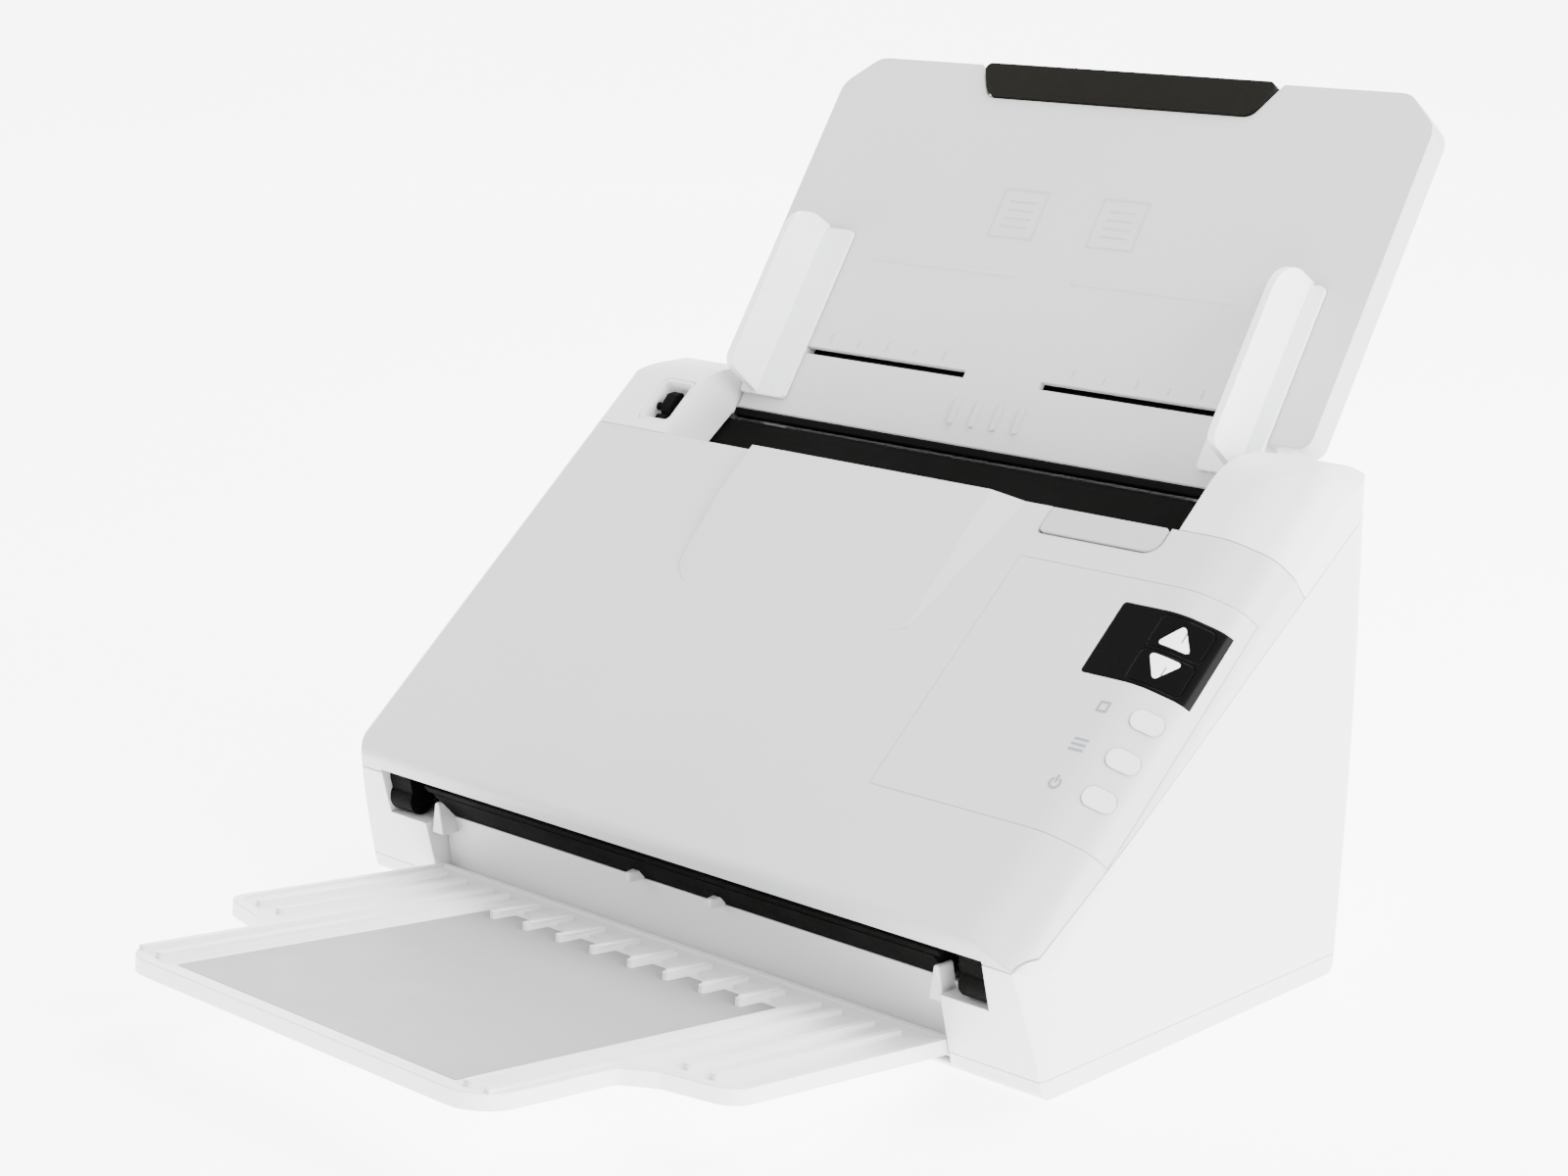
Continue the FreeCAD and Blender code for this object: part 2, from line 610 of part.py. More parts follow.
def top_cover():
    """Both shoulders and the narrow bridge behind the tray's foot."""
    zone = upper_rear_zone()
    shoulders = []
    for x_low, x_high in ((-170, -SHOULDER_INNER), (SHOULDER_INNER, 170)):
        shoulders.append(SHELL.common(zone).common(block(WORLD, (x_low, x_high), (-50, 90), (0, 200))))
    above_path = block(PATH, (-170, 170), (0, 260), (1.0, 90))
    for x_low in (-SHOULDER_INNER - TOP_WALL, SHOULDER_INNER):
        wall = OUTER.common(zone.fuse(block(WORLD, (-170, 170), (40, 62), (146, 160))))
        wall = wall.common(above_path).common(block(WORLD, (x_low, x_low + TOP_WALL), (-50, 90), (0, 200)))
        shoulders.append(wall)
    bridge = OUTER.common(block(TRAY, (-SHOULDER_INNER - 1, SHOULDER_INNER + 1), (-3.2, -0.4), (-40, 0.2)))
    cover = join(shoulders + [bridge])
    for x in (-1, 1):
        low, high = sorted((x * (FOOT_TAB_X[0] - 0.3), x * (FOOT_TAB_X[1] + 0.3)))
        cover = cover.cut(block(TRAY, (low, high), (-5, 1), (-8.3, -4.7)))
    pocket = soft_slab(SLOPE, POCKET_X, (COVER_LENGTH + 5, COVER_LENGTH + 26), -11, 8, 3.0)
    return cover.cut(pocket)


def latch_housing():
    """The small white box that closes the pocket in the left shoulder."""
    outer_a = (COVER_LENGTH + 5.2, COVER_LENGTH + 25.8)
    outer = soft_slab(SLOPE, grown(POCKET_X, -0.2), outer_a, -10.5, -0.6, 3.0)
    inner = soft_slab(SLOPE, grown(POCKET_X, -1.6), (COVER_LENGTH + 6.6, COVER_LENGTH + 24.4), -9.0, 4, 2.0)
    box = outer.cut(inner)
    return box.cut(rod(LATCH_PIVOT, 1.55, POCKET_X[0] - 2, POCKET_X[1] + 2))


LATCH_PIVOT = SLOPE.yz(COVER_LENGTH + 15.5, -5.2)
LATCH_X = (-133.0, -128.0)


def cover_latch():
    """The dark catch that rocks in the pocket: a hooked plate on a thin pin."""
    a0 = COVER_LENGTH
    corners = [(a0 + 8.2, -6.8), (a0 + 8.0, -3.0), (a0 + 10.4, -3.0), (a0 + 11.6, -4.6), (a0 + 13.4, -2.0),
               (a0 + 19.0, -1.2), (a0 + 21.8, -3.2), (a0 + 21.0, -5.6), (a0 + 17.6, -4.4), (a0 + 17.4, -7.6)]
    hook = beam(SLOPE, corners, *LATCH_X)
    return hook.fuse(rod(LATCH_PIVOT, 1.5, POCKET_X[0] + 0.4, POCKET_X[1] - 0.4))


def exit_wall():
    front = [
        (-90.6, 4.3), (-90.6, 11), (-93.0, EXIT_WALL_TOP),
        (-90.4, EXIT_WALL_TOP), (-88.0, 11), (-88.0, 4.3),
    ]
    return beam(WORLD, front, -POST_INNER + 0.3, POST_INNER - 0.3)


def exit_guide():
    """The black shelf under the exit, from the front wall to the end of the bed."""
    foot_z = EXIT_WALL_TOP + 0.2
    corners = [
        (-92.9, foot_z), PATH.yz(-3.2, -PLATE - 0.2), PATH.yz(9.0, -PLATE - 0.2),
        (-88.2, 36.0), (-90.3, foot_z),
    ]
    shelf = beam(WORLD, corners, -FRAME_HALF + PLATE + 0.2, FRAME_HALF - PLATE - 0.2)
    for low, high in FOUR_TYRES:
        shelf = shelf.cut(rod(EXIT_C, EXIT_R + 0.6, low - 0.8, high + 0.8))
    return shelf


def sensor_bar(low, high):
    return block(PATH, SENSOR_X, SENSOR_P, (low, high))


def motor():
    body = rod(MOTOR_C, 17.5, -108, -84)
    flange = rod(MOTOR_C, 19.0, -110.0, -108)
    collar = rod(MOTOR_C, 5.0, -117.6, -110)
    shaft = rod(MOTOR_C, 1.5, -127.2, -117.6)
    return join([body, flange, collar, shaft])


def usb_socket():
    shell = block(WORLD, USB_X, (BOARD_Y[1] + 0.1, 59.2), USB_Z)
    cavity = block(WORLD, grown(USB_X, -0.9), (50, 65), grown(USB_Z, -0.9))
    middle = (sum(USB_X) / 2, sum(USB_Z) / 2)
    tongue = block(WORLD, (middle[0] - 3, middle[0] + 3), (49, 58), (middle[1] - 1.6, middle[1] + 1.6))
    return join([shell.cut(cavity), tongue])


def dc_jack():
    start = Vector(JACK_CENTRE[0], BOARD_Y[1] + 0.1, JACK_CENTRE[1])
    forward = Vector(0, 1, 0)
    body = Part.makeCylinder(JACK_HALF, 13.4, start, forward)
    bore = Part.makeCylinder(3.2, 11, start + forward * 3, forward)
    pin = Part.makeCylinder(1.0, 9.5, start + forward * 2, forward)
    return join([body.cut(bore), pin])


def base_screw(place):
    x, y = place
    head = Part.makeCylinder(3.0, 1.2, Vector(x, y, 1.55))
    shank = Part.makeCylinder(1.5, 6.5, Vector(x, y, 2.6))
    slot = block(WORLD, (x - 0.4, x + 0.4), (y - 2.2, y + 2.2), (1, 2.1))
    return head.fuse(shank).cut(slot)


def foot(place):
    x, y = place
    pad = Part.makeCylinder(8.0, FOOT_HEIGHT - 0.02, Vector(x, y, 0))
    return pad.fuse(Part.makeCylinder(3.0, 5.0, Vector(x, y, 0)))


# Input tray
RIM_DEPTH = 10.0
SKIN = 2.5
SLOT_A = 27.0
SLOT_HALF = 1.5
GRIP_TOP, GRIP_FOOT = 68.0, 60.0
GRIP_A = (139.0, TRAY_LENGTH + 0.4)
EXTENSION_HALF = 62.0
EXTENSION_A = (62.0, 148.0)
RAIL_N = (-7.6, -SKIN + 0.2)


def tray_outline(by):
    cut_x, cut_a = 14.0, 12.0
    top = TRAY_LENGTH - by
    half = TRAY_HALF - by
    return [
        (-half, 19 + by, 5), (half, 19 + by, 5), (half, top - cut_a, 9), (half - cut_x, top, 9),
        (-half + cut_x, top, 9), (-half, top - cut_a, 9),
    ]


def grip_outline(grow):
    return [(-GRIP_FOOT - grow, GRIP_A[0] - grow, 6), (GRIP_FOOT + grow, GRIP_A[0] - grow, 6),
            (GRIP_TOP + grow, GRIP_A[1] + grow, 2.5), (-GRIP_TOP - grow, GRIP_A[1] + grow, 2.5)]


def input_tray():
    skin = slab(TRAY, tray_outline(0), -SKIN, 0)
    rim = slab(TRAY, tray_outline(0), -RIM_DEPTH, 0).cut(slab(TRAY, tray_outline(SKIN), -RIM_DEPTH - 1, 1))
    rim = rim.cut(block(TRAY, (-TRAY_NECK + SKIN, TRAY_NECK - SKIN), (15, 22), (-12, -SKIN)))
    neck = block(TRAY, (-TRAY_NECK, TRAY_NECK), (0, 24), (-SKIN, 0))
    neck_ribs = [block(TRAY, (x, x + 2.5), (0, 24), (-7.5, -1)) for x in (-TRAY_NECK, TRAY_NECK - 2.5)]
    tabs = []
    for side in (-1, 1):
        low, high = sorted((side * FOOT_TAB_X[0], side * FOOT_TAB_X[1]))
        tabs.append(block(TRAY, (low, high), (-7, 6), (-8.0, -5.0)))
        tabs.append(block(TRAY, (low, high), (0, 6), (-5.2, -1)))
    rail_starts = (-EXTENSION_HALF - 2.8, EXTENSION_HALF + 0.4)
    rails = [block(TRAY, (x, x + 2.4), (58, 138), RAIL_N) for x in rail_starts]
    ribs = []
    for i in range(4):
        x = -15.0 + 10.0 * i
        ribs.append(soft_slab(TRAY, (x - 1.2, x + 1.2), (7, 17.7), -0.5, 0.8, 1.0))
    tray = join([skin, rim, neck] + neck_ribs + tabs + rails + ribs)
    for low, high in ((-104, -17.5), (17.5, 104)):
        tray = tray.cut(block(TRAY, (low, high), (SLOT_A - SLOT_HALF, SLOT_A + SLOT_HALF), (-4, 1)))
    notch = slab(TRAY, [(-GRIP_FOOT - 0.5, GRIP_A[0] - 0.5, 6), (GRIP_FOOT + 0.5, GRIP_A[0] - 0.5, 6),
                        (GRIP_TOP + 5, TRAY_LENGTH + 6, 0), (-GRIP_TOP - 5, TRAY_LENGTH + 6, 0)], -12, 4)
    tray = tray.cut(notch)
    outward = TRAY.at(0, 0, 1) - TRAY.at(0, 0, 0)
    pivot = Part.makeCylinder(2.0, 4.0, TRAY.at(0, SLOT_A, -SKIN - 3.6), outward)
    return join([tray, pivot])


def tray_extension():
    plate = slab(TRAY, [(-EXTENSION_HALF, EXTENSION_A[0], 4), (EXTENSION_HALF, EXTENSION_A[0], 4),
                        (EXTENSION_HALF, EXTENSION_A[1]), (-EXTENSION_HALF, EXTENSION_A[1])], -5.4, -2.9)
    window = soft_slab(TRAY, (-44, 44), (80, 130), -8, 0, 6)
    return plate.cut(window)


def extension_grip():
    body = slab(TRAY, grip_outline(0), -9.0, 1.2)
    body = body.cut(slab(TRAY, grip_outline(-2.2), -12, -2.0))
    groove = block(TRAY, (-90, 90), (100, EXTENSION_A[1] + 0.2), (-5.5, -2.8))
    return body.cut(groove)


GUIDE_WALL = (110.0, 112.8)
GUIDE_PLATE = (96.0, 118.8)
GUIDE_HEIGHT = 21.5
GUIDE_PINION_TEETH = 12
GUIDE_PITCH_R = GUIDE_PINION_TEETH * MODULE / 2
RACK_N = (-5.6, -3.0)


def rack_bar(direction):
    """A toothed bar behind the tray: direction is +1 for the bar above the pinion and -1 below."""
    pitch = math.pi * MODULE
    line = SLOT_A + direction * GUIDE_PITCH_R
    near, far, back = line - direction * 0.85, line + direction * 1.15, line + direction * 5.5
    inner_end = 7.5
    points = [(-103.0, back), (-103.0, far)]
    first = -27
    for i in range(first, 3):
        middle = (i - 0.5) * pitch
        for x_share, a in ((-0.24, far), (-0.10, near), (0.10, near), (0.24, far)):
            points.append((middle + x_share * pitch, a))
    points += [(inner_end, far), (inner_end, back)]
    return slab(TRAY, points, *RACK_N)


def left_guide():
    low, high = -GUIDE_WALL[1], -GUIDE_WALL[0]
    wall = beam(TRAY, [(6, 0.3), (78.5, 0.3), (78.5, GUIDE_HEIGHT, 13), (9, GUIDE_HEIGHT, 5)], low, high)
    plate = soft_slab(TRAY, (-GUIDE_PLATE[1], -GUIDE_PLATE[0]), (5.5, 77), 0.3, 2.0, 2.0)
    post = block(TRAY, (-103, -97), (SLOT_A - SLOT_HALF + 0.1, SLOT_A + SLOT_HALF - 0.1), (RACK_N[0], 1.0))
    arm = block(TRAY, (-103, -97), (SLOT_A - SLOT_HALF + 0.1, SLOT_A + GUIDE_PITCH_R + 5.5), RACK_N)
    return join([wall, plate, post, arm, rack_bar(1)])


def right_guide():
    """The right paper guide: its rack runs below the pinion and the left guide's rack above it."""
    low, high = GUIDE_WALL
    wall = beam(TRAY, [(6, 0.3), (78.5, 0.3), (78.5, GUIDE_HEIGHT, 13), (9, GUIDE_HEIGHT, 5)], low, high)
    plate = soft_slab(TRAY, GUIDE_PLATE, (5.5, 77), 0.3, 2.0, 2.0)
    post = block(TRAY, (97, 103), (SLOT_A - SLOT_HALF + 0.1, SLOT_A + SLOT_HALF - 0.1), (RACK_N[0], 1.0))
    arm = block(TRAY, (97, 103), (SLOT_A - GUIDE_PITCH_R - 5.5, SLOT_A + SLOT_HALF - 0.1), RACK_N)
    return join([wall, plate, post, arm, mirrored(rack_bar(-1))])


def rack_cover():
    """The dark tray behind the racks: it closes the slots from behind."""
    back = block(TRAY, (-106, 106), (13.4, 40.6), (-7.2, -5.9))
    rims = [block(TRAY, (-106, 106), a, (-6.0, -SKIN - 0.02)) for a in ((13.4, 14.8), (39.2, 40.6))]
    ends = [block(TRAY, x, (13.4, 40.6), (-6.0, -SKIN - 0.02)) for x in ((-106, -104.6), (104.6, 106))]
    return join([back] + rims + ends).cut(block(TRAY, (-2.4, 2.4), (SLOT_A - 2.4, SLOT_A + 2.4), (-8, -5)))


def guide_pinion():
    points = []
    for tooth in range(GUIDE_PINION_TEETH):
        for radius, share in tooth_outline(GUIDE_PINION_TEETH):
            angle = math.radians(90 + (tooth + share) * 360.0 / GUIDE_PINION_TEETH)
            points.append((radius * math.cos(angle), SLOT_A + radius * math.sin(angle)))
    wheel = slab(TRAY, points, RACK_N[0], RACK_N[1])
    outward = TRAY.at(0, 0, 1) - TRAY.at(0, 0, 0)
    return wheel.cut(Part.makeCylinder(2.05, 12, TRAY.at(0, SLOT_A, -10), outward))


# Output tray
RIB_HEIGHT = 1.8
OUT_SKIN = 2.2
OUT_RIM = 4.6


def out_outline(by):
    step = OUT_WING_LENGTH
    return [
        (-OUT_WING + by, 3.9 + by), (OUT_WING - by, 3.9 + by), (OUT_WING - by, step - by, 9),
        (OUT_INNER + 10 - by, step + 6 - by, 3), (OUT_INNER - by, step + 14 - by, 6),
        (OUT_INNER - by, OUT_LENGTH - by, 14), (-OUT_INNER + by, OUT_LENGTH - by, 14),
        (-OUT_INNER + by, step + 14 - by, 6), (-OUT_INNER - 10 + by, step + 6 - by, 3),
        (-OUT_WING + by, step - by, 9),
    ]


def output_tray():
    skin = slab(OUT, out_outline(0), -OUT_SKIN, 0)
    rim = slab(OUT, out_outline(0), -OUT_RIM, 0.6).cut(slab(OUT, out_outline(2.6), -OUT_RIM - 1, 1.5))
    panel = soft_slab(OUT, (-71, 71), (22, OUT_LENGTH - 4.5), -0.8, 1, 5.0)
    tray = join([skin, rim]).cut(panel)
    ribs = []
    for x in (74.0, 83.0):
        end = OUT_LENGTH - 6
        ribs.append(soft_slab(OUT, (x - 1.4, x + 1.4), (14, end), -0.5, RIB_HEIGHT, 1.2))
    for x in (97.0, 108.0):
        ribs.append(soft_slab(OUT, (x - 1.4, x + 1.4), (14, OUT_WING_LENGTH - 3), -0.5, RIB_HEIGHT, 1.2))
    for i in range(4):
        x = 9.0 + 16.5 * i
        ribs.append(soft_slab(OUT, (x - 1.3, x + 1.3), (14, 36), -1.2, RIB_HEIGHT, 1.1))
    barrel = rod(OUT_PIVOT, 2.8, -OUT_WING, OUT_WING)
    pins = rod(OUT_PIVOT, 1.6, -OUT_WING - 4.5, OUT_WING + 4.5)
    return join([tray] + ribs + [mirrored(rib) for rib in ribs] + [barrel, pins])


def build():
    phases = gear_phases()
    feed_tyres = [tube(FEED_C, FEED_R, SHAFT_R + 0.02, low, high) for low, high in ((-24, -3), (3, 24))]
    nodes = {
        "base_pan": base_pan(),
        "left_side_cover": side_cover(-1),
        "right_side_cover": side_cover(1),
        "rear_cover": rear_cover(),
        "top_cover": top_cover(),
        "latch_housing": latch_housing(),
        "cover_latch": cover_latch(),
        "front_cover": front_cover(),
        "cover_frame": cover_frame(),
        "control_insert": control_insert(),
        "display_panel": display_panel(),
        "up_key": key(UP_KEY_A),
        "down_key": key(DOWN_KEY_A),
        "release_button": release_button(),
        "control_board": block(SLOPE, (122, 147), (50, 132), (-14.6, -13.0)),
        "lower_frame": lower_frame(),
        "exit_wall": exit_wall(),
        "exit_guide": exit_guide(),
        "upper_sensor": sensor_bar(3.2, 13.0),
        "upper_glass": sensor_bar(SHEET_GAP, 3.0),
        "lower_sensor": sensor_bar(-14.0, -1.8),
        "lower_glass": sensor_bar(-1.6, 0),
        "motor": motor(),
        "main_board": block(WORLD, (-60, 60), BOARD_Y, (14, 72)),
        "usb_socket": usb_socket(),
        "dc_jack": dc_jack(),
        "base_screws": group([base_screw(place) for place in SCREW_PLACES]),
        "feet": group([foot(place) for place in FOOT_PLACES]),
        "hinge_pins": group([rod(HINGE, 2.5, -148.9, -129.3), rod(HINGE, 2.5, 129.3, 148.9)]),
        "idler_pins": group([
            rod(c, IDLER_PIN_R, -128.4, -FRAME_HALF + PLATE) for c in (IDLER_1_C, IDLER_2_C)]),
        "input_tray": input_tray(),
        "tray_extension": tray_extension(),
        "extension_grip": extension_grip(),
        "left_guide": left_guide(),
        "right_guide": right_guide(),
        "guide_pinion": guide_pinion(),
        "rack_cover": rack_cover(),
        "output_tray": output_tray(),
        "separation_roller": pinch_roller("separation"),
        "drive_pinch_roller": pinch_roller("drive"),
        "exit_pinch_roller": pinch_roller("exit"),
        "feed_tyres": group(feed_tyres),
    }
    bushes = []
    driven = (("feed", FEED_C, FEED_R), ("drive", DRIVE_C, DRIVE_R), ("exit", EXIT_C, EXIT_R))
    for name, centre, radius in driven:
        nodes[name + "_shaft"] = rod(centre, SHAFT_R, -128.4, FRAME_HALF + 1)
        if name != "feed":
            tyres = [tube(centre, radius, SHAFT_R + 0.02, a, b) for a, b in FOUR_TYRES]
            nodes[name + "_tyres"] = group(tyres)
        for x_low in (-FRAME_HALF, FRAME_HALF - PLATE):
            bushes.append(tube(centre, BUSH_R, SHAFT_R + 0.04, x_low, x_low + PLATE))
    nodes["shaft_bushes"] = group(bushes)
    for name, phase in phases.items():
        gear = spur_gear(GEAR_CENTRES[name], TEETH[name], phase, GEAR_X[0], GEAR_X[1], GEAR_BORES[name])
        nodes["motor_pinion" if name == "pinion" else name + "_gear"] = gear
    for number, a in enumerate(BUTTON_PLACES, 1):
        nodes["function_button_%d" % number] = function_button(a)
    return nodes


low, high = Vector(1e9, 1e9, 1e9), Vector(-1e9, -1e9, -1e9)
for node, shape in build().items():
    shape.translate(Vector(0, DEPTH_SHIFT, 0))
    box = shape.BoundBox
    low = Vector(min(low.x, box.XMin), min(low.y, box.YMin), min(low.z, box.ZMin))
    high = Vector(max(high.x, box.XMax), max(high.y, box.YMax), max(high.z, box.ZMax))
    print(node, "solids", len(shape.Solids), "valid", shape.isValid(), "volume", round(shape.Volume))
    shape.exportStep("parts/%s.step" % node)
print("box", [round(v, 3) for v in (*low, *high)])
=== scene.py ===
import math

import bmesh
import bpy
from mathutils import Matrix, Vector


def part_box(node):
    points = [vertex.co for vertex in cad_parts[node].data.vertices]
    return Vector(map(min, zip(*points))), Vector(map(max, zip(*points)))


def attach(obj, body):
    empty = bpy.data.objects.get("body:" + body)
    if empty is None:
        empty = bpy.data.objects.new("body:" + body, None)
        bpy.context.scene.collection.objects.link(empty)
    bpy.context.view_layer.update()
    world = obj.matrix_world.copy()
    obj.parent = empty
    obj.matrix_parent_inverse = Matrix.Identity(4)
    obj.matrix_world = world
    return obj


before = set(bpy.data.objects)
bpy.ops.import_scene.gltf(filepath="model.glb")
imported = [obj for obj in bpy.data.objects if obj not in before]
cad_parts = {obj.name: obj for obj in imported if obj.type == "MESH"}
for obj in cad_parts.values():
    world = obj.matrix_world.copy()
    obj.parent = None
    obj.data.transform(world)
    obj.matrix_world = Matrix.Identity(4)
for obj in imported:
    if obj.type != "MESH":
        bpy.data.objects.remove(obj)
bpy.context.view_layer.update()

MM = 0.001
SHIFT = 55.257            # depth of the design's own origin in the row frame, mm

# Sloping planes of the machine: origin (y, z) in mm, angle of the run, angle of the normal
PLANES = {
    "slope": ((-107.0 + SHIFT, 50.7), 40.0, 130.0),
    "tray": ((54.4 + SHIFT, 159.5), 56.5, 146.5),
    "out": ((-90.4 + SHIFT, 10.8), 173.3, 83.3),
    "path": ((-100.0 + SHIFT, 44.0), 36.17, 126.17),
    "world": ((SHIFT, 0.0), 0.0, 90.0),
    "front": ((-99.5 + SHIFT, 0.0), 90.0, 180.0),
}


def at(plane, x, a, n):
    """A point in metres from x, the run a and the height n over a plane, in mm."""
    (y, z), run, rise = PLANES[plane]
    run, rise = math.radians(run), math.radians(rise)
    return Vector((
        x * MM,
        (y + a * math.cos(run) + n * math.cos(rise)) * MM,
        (z + a * math.sin(run) + n * math.sin(rise)) * MM,
    ))


# ---------------------------------------------------------------- materials

def shader(name):
    mat = bpy.data.materials.new(name)
    mat.use_nodes = True
    nodes, links = mat.node_tree.nodes, mat.node_tree.links
    return mat, nodes, links, nodes["Principled BSDF"]


def noise(nodes, links, scale, detail=3.0, roughness=0.5):
    place = nodes.new("ShaderNodeTexCoord")
    node = nodes.new("ShaderNodeTexNoise")
    node.inputs["Scale"].default_value = scale
    node.inputs["Detail"].default_value = detail
    node.inputs["Roughness"].default_value = roughness
    links.new(place.outputs["Object"], node.inputs["Vector"])
    return node


def ramp(nodes, links, source, low, high, start=0.35, end=0.65):
    """Turns a texture into values or colours between low and high."""
    if isinstance(low, float):
        node = nodes.new("ShaderNodeMapRange")
        node.inputs["From Min"].default_value = start
        node.inputs["From Max"].default_value = end
        node.inputs["To Min"].default_value = low
        node.inputs["To Max"].default_value = high
        links.new(source, node.inputs["Value"])
        return node.outputs["Result"]
    node = nodes.new("ShaderNodeValToRGB")
    node.color_ramp.elements[0].position = start
    node.color_ramp.elements[1].position = end
    node.color_ramp.elements[0].color = (*low, 1)
    node.color_ramp.elements[1].color = (*high, 1)
    links.new(source, node.inputs["Fac"])
    return node.outputs["Color"]


def moulded(name, colour, rough=0.42, grain=0.06, grain_scale=2600, edge=0.7, coat=0.0, dust=0.03,
            shine=0.45):
    """Moulded plastic: fine grain, faint flow marks, softened edges and a little dust."""
    mat, nodes, links, bsdf = shader(name)
    flow = noise(nodes, links, 9.0, 4.0)
    fine = noise(nodes, links, grain_scale, 2.0, 0.6)
    smudge = noise(nodes, links, 38.0, 5.0, 0.6)
    darker = tuple(c * (1 - dust) for c in colour)
    tint = ramp(nodes, links, flow.outputs["Fac"], darker, colour)
    links.new(tint, bsdf.inputs["Base Color"])
    links.new(ramp(nodes, links, smudge.outputs["Fac"], rough - 0.05, rough + 0.06),
              bsdf.inputs["Roughness"])
    bevel = nodes.new("ShaderNodeBevel")
    bevel.samples = 4
    bevel.inputs["Radius"].default_value = edge * MM
    bump = nodes.new("ShaderNodeBump")
    bump.inputs["Strength"].default_value = grain
    bump.inputs["Distance"].default_value = 0.0002
    links.new(fine.outputs["Fac"], bump.inputs["Height"])
    links.new(bevel.outputs["Normal"], bump.inputs["Normal"])
    links.new(bump.outputs["Normal"], bsdf.inputs["Normal"])
    bsdf.inputs["Coat Weight"].default_value = coat
    bsdf.inputs["Coat Roughness"].default_value = 0.08
    bsdf.inputs["Specular IOR Level"].default_value = shine
    return mat


def rubber(name, colour, rough=0.75):
    return moulded(name, colour, rough=rough, grain=0.35, grain_scale=900, edge=0.4, dust=0.25)


def metal(name, colour, rough=0.28):
    """Turned or drawn steel, with lathe lines round the X axis."""
    mat, nodes, links, bsdf = shader(name)
    place = nodes.new("ShaderNodeTexCoord")
    stretch = nodes.new("ShaderNodeMapping")
    stretch.inputs["Scale"].default_value = (2200, 60, 60)
    lines = nodes.new("ShaderNodeTexNoise")
    lines.inputs["Scale"].default_value = 1.0
    links.new(place.outputs["Object"], stretch.inputs["Vector"])
    links.new(stretch.outputs["Vector"], lines.inputs["Vector"])
    bsdf.inputs["Metallic"].default_value = 1.0
    links.new(ramp(nodes, links, lines.outputs["Fac"], tuple(c * 0.8 for c in colour), colour),
              bsdf.inputs["Base Color"])
    links.new(ramp(nodes, links, lines.outputs["Fac"], rough - 0.08, rough + 0.1),
              bsdf.inputs["Roughness"])
    bump = nodes.new("ShaderNodeBump")
    bump.inputs["Strength"].default_value = 0.15
    bump.inputs["Distance"].default_value = 0.0001
    links.new(lines.outputs["Fac"], bump.inputs["Height"])
    links.new(bump.outputs["Normal"], bsdf.inputs["Normal"])
    return mat


def glass(name):
    """Scanner glass: dark, smooth, with the faint green of thick float glass."""
    mat, nodes, links, bsdf = shader(name)
    haze = noise(nodes, links, 25.0, 3.0)
    links.new(ramp(nodes, links, haze.outputs["Fac"], (0.02, 0.03, 0.028), (0.035, 0.05, 0.045)),
              bsdf.inputs["Base Color"])
    links.new(ramp(nodes, links, haze.outputs["Fac"], 0.03, 0.09), bsdf.inputs["Roughness"])
    bsdf.inputs["Coat Weight"].default_value = 1.0
    return mat


def board(name):
    """Circuit board: solder mask over copper tracks."""
    mat, nodes, links, bsdf = shader(name)
    place = nodes.new("ShaderNodeTexCoord")
    tracks = nodes.new("ShaderNodeTexBrick")
    tracks.inputs["Scale"].default_value = 160.0
    tracks.inputs["Color1"].default_value = (0.008, 0.09, 0.035, 1)
    tracks.inputs["Color2"].default_value = (0.01, 0.12, 0.045, 1)
    tracks.inputs["Mortar"].default_value = (0.03, 0.2, 0.08, 1)
    tracks.inputs["Mortar Size"].default_value = 0.03
    links.new(place.outputs["Object"], tracks.inputs["Vector"])
    links.new(tracks.outputs["Color"], bsdf.inputs["Base Color"])
    grain = noise(nodes, links, 700.0)
    links.new(ramp(nodes, links, grain.outputs["Fac"], 0.25, 0.4), bsdf.inputs["Roughness"])
    return mat


